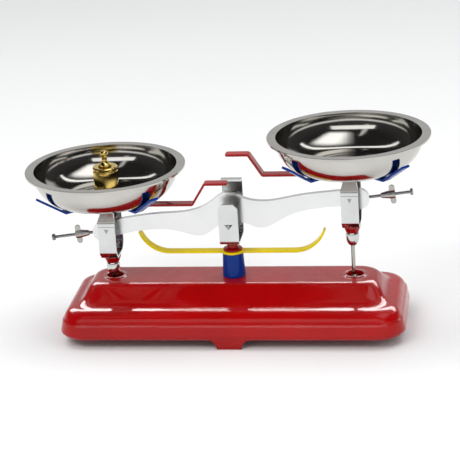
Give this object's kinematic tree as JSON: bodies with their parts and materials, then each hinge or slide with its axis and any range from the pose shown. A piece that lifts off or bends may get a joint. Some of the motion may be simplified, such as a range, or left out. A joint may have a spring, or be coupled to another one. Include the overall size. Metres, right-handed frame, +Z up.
{
  "type": "toy counter balance scale",
  "caption": "Two-pan counter balance: a tilting beam carries two upright pans above a stepped cast base, with pointers that meet in the middle.",
  "frame": {"origin": "on the floor under the middle of the base, at the bottom of the feet", "axes": "+X to the right pan, +Y to the back, +Z up; the beam rests with its left end down"},
  "size_m": [0.2449, 0.097, 0.1218],
  "materials": {
    "red_enamel": "glossy red enamel",
    "blue_enamel": "glossy blue enamel",
    "yellow_enamel": "glossy yellow enamel",
    "chrome": "bright plated sheet steel",
    "nickel": "nickel plated turned steel",
    "polished_steel": "spun stainless steel, polished",
    "cast_alloy": "satin silver casting",
    "zinc_steel": "zinc plated steel",
    "brass": "turned and polished brass"
  },
  "bodies": {
    "base": {"base_casting": "red_enamel", "pillar": "blue_enamel", "stop_bar": "yellow_enamel", "spool": "red_enamel", "yoke": "chrome", "index_plate": "chrome", "index_rivets": "chrome", "pillar_bolt": "zinc_steel", "pillar_nut": "zinc_steel", "link_bracket": "zinc_steel", "link_pin": "zinc_steel"},
    "beam": {"beam": "cast_alloy", "centre_knife": "zinc_steel", "left_balance_screw": "nickel", "right_balance_screw": "nickel"},
    "left_carrier": {"left_stirrup": "chrome", "left_knife": "zinc_steel", "left_pointer": "red_enamel", "left_spacer": "zinc_steel", "left_cradle": "blue_enamel", "left_cradle_screw": "zinc_steel", "left_cradle_nut": "zinc_steel", "left_collar": "red_enamel", "left_stem_nut": "chrome", "left_stem": "nickel", "left_stem_pin": "zinc_steel"},
    "right_carrier": {"right_stirrup": "chrome", "right_knife": "zinc_steel", "right_pointer": "red_enamel", "right_spacer": "zinc_steel", "right_cradle": "blue_enamel", "right_cradle_screw": "zinc_steel", "right_cradle_nut": "zinc_steel", "right_collar": "red_enamel", "right_stem_nut": "chrome", "right_stem": "nickel", "right_stem_pin": "zinc_steel"},
    "check_link": {"check_link": "zinc_steel"},
    "left_pan": {"left_pan": "polished_steel"},
    "right_pan": {"right_pan": "polished_steel"},
    "weight": {"weight_body": "brass", "weight_knob": "brass"},
    "left_wing_nut": {"left_wing_nut": "nickel"},
    "right_wing_nut": {"right_wing_nut": "nickel"}
  },
  "joints": [
    {"name": "beam_tilt", "type": "hinge", "parent": "base", "child": "beam", "pos_m": [0, 0, 0.0665], "axis": [0, 1, 0], "range_deg": [0, 14]},
    {"name": "left_carrier_pivot", "type": "hinge", "parent": "beam", "child": "left_carrier", "pos_m": [-0.0748, 0, 0.06437], "axis": [0, 1, 0], "range_deg": [-14, 0]},
    {"name": "right_carrier_pivot", "type": "hinge", "parent": "beam", "child": "right_carrier", "pos_m": [0.07309, 0, 0.08253], "axis": [0, 1, 0], "range_deg": [-14, 0]},
    {"name": "check_link_pivot", "type": "hinge", "parent": "base", "child": "check_link", "pos_m": [0, 0, 0.01097], "axis": [0, 1, 0], "range_deg": [0, 14]},
    {"name": "left_pan_lift", "type": "slide", "parent": "left_carrier", "child": "left_pan", "axis": [0, 0, 1], "range_m": [0, 0.06]},
    {"name": "right_pan_lift", "type": "slide", "parent": "right_carrier", "child": "right_pan", "axis": [0, 0, 1], "range_m": [0, 0.06]},
    {"name": "weight_lift", "type": "slide", "parent": "left_pan", "child": "weight", "axis": [0, 0, 1], "range_m": [0, 0.06]},
    {"name": "left_nut_travel", "type": "slide", "parent": "beam", "child": "left_wing_nut", "axis": [0.9925, 0, 0.1219], "range_m": [-0.013, 0.002]},
    {"name": "right_nut_travel", "type": "slide", "parent": "beam", "child": "right_wing_nut", "axis": [0.9925, 0, 0.1219], "range_m": [-0.0065, 0.0085]}
  ],
  "couplings": [
    {"joint": "left_carrier_pivot", "follows": "beam_tilt", "ratio": -1},
    {"joint": "right_carrier_pivot", "follows": "beam_tilt", "ratio": -1},
    {"joint": "check_link_pivot", "follows": "beam_tilt", "ratio": 1}
  ]
}
